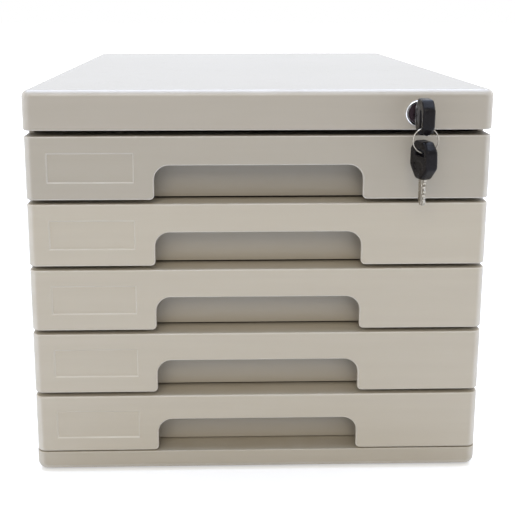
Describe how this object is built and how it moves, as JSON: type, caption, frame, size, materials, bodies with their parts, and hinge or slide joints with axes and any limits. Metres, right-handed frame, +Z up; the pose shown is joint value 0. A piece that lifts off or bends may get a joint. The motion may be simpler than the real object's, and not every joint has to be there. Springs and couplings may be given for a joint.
{
  "type": "desktop file drawer",
  "caption": "Desktop file cabinet with a stack of shallow pull-out drawers with finger notches, a cam lock in the cover and keys hanging on a ring.",
  "frame": {"origin": "centre of the cabinet's footprint on the table plane, at the bottom of the middle foot", "axes": "+Z up, the drawer fronts face -Y, +X to the right seen from the front"},
  "size_m": [0.3, 0.4314, 0.26],
  "materials": {
    "cover": "satin, fine grain",
    "body": "satin, fine grain",
    "front": "satin, fine grain",
    "tray": "satin",
    "rubber": "matte",
    "lock_chrome": "polished",
    "steel": "zinc-plated",
    "key_plastic": "satin black",
    "key_steel": "nickel-plated"
  },
  "bodies": {
    "carcase": {"top_cover": "cover", "base": "body", "left_side_panel": "body", "right_side_panel": "body", "back_panel": "body", "feet": "rubber", "cover_screws": "steel", "base_screws": "steel", "bar_screws": "steel", "lock_housing": "lock_chrome", "lock_nut": "steel"},
    "drawer_1": {"drawer_front_1": "front", "drawer_tray_1": "tray", "lock_catch_1": "steel", "front_screws_1": "steel"},
    "drawer_2": {"drawer_front_2": "front", "drawer_tray_2": "tray", "lock_catch_2": "steel", "front_screws_2": "steel"},
    "drawer_3": {"drawer_front_3": "front", "drawer_tray_3": "tray", "lock_catch_3": "steel", "front_screws_3": "steel"},
    "drawer_4": {"drawer_front_4": "front", "drawer_tray_4": "tray", "lock_catch_4": "steel", "front_screws_4": "steel"},
    "drawer_5": {"drawer_front_5": "front", "drawer_tray_5": "tray", "lock_catch_5": "steel", "front_screws_5": "steel"},
    "plug": {"lock_plug": "lock_chrome", "lock_cam": "steel", "cam_screw": "steel"},
    "bar": {"locking_bar": "steel", "bar_teeth": "steel"},
    "key": {"key_head": "key_plastic", "key_blade": "key_steel"},
    "ring": {"key_ring": "key_steel"},
    "spare_key": {"spare_key_head": "key_plastic", "spare_key_blade": "key_steel"}
  },
  "joints": [
    {"name": "drawer_1_slide", "type": "slide", "parent": "carcase", "child": "drawer_1", "axis": [0, -1, 0], "range_m": [0, 0.321]},
    {"name": "drawer_2_slide", "type": "slide", "parent": "carcase", "child": "drawer_2", "axis": [0, -1, 0], "range_m": [0, 0.321]},
    {"name": "drawer_3_slide", "type": "slide", "parent": "carcase", "child": "drawer_3", "axis": [0, -1, 0], "range_m": [0, 0.321]},
    {"name": "drawer_4_slide", "type": "slide", "parent": "carcase", "child": "drawer_4", "axis": [0, -1, 0], "range_m": [0, 0.321]},
    {"name": "drawer_5_slide", "type": "slide", "parent": "carcase", "child": "drawer_5", "axis": [0, -1, 0], "range_m": [0, 0.321]},
    {"name": "lock_turn", "type": "hinge", "parent": "carcase", "child": "plug", "pos_m": [0.1005, -0.2, 0.2452], "axis": [0, 1, 0], "range_deg": [0, 90]},
    {"name": "bar_slide", "type": "slide", "parent": "carcase", "child": "bar", "axis": [0, 0, -1], "range_m": [0, 0.00636]},
    {"name": "key_pull", "type": "slide", "parent": "plug", "child": "key", "axis": [0, -1, 0], "range_m": [0, 0.035]},
    {"name": "ring_hang", "type": "hinge", "parent": "key", "child": "ring", "pos_m": [0.1005, -0.2236, 0.2362], "axis": [0, -1, 0], "range_deg": [-90, 90]},
    {"name": "spare_key_swing", "type": "hinge", "parent": "ring", "child": "spare_key", "pos_m": [0.1005, -0.2236, 0.23125], "axis": [0, 1, 0], "range_deg": [-20, 20]}
  ],
  "couplings": [
    {"joint": "lock_turn", "follows": "bar_slide", "rad_per_m": 246.82}
  ]
}
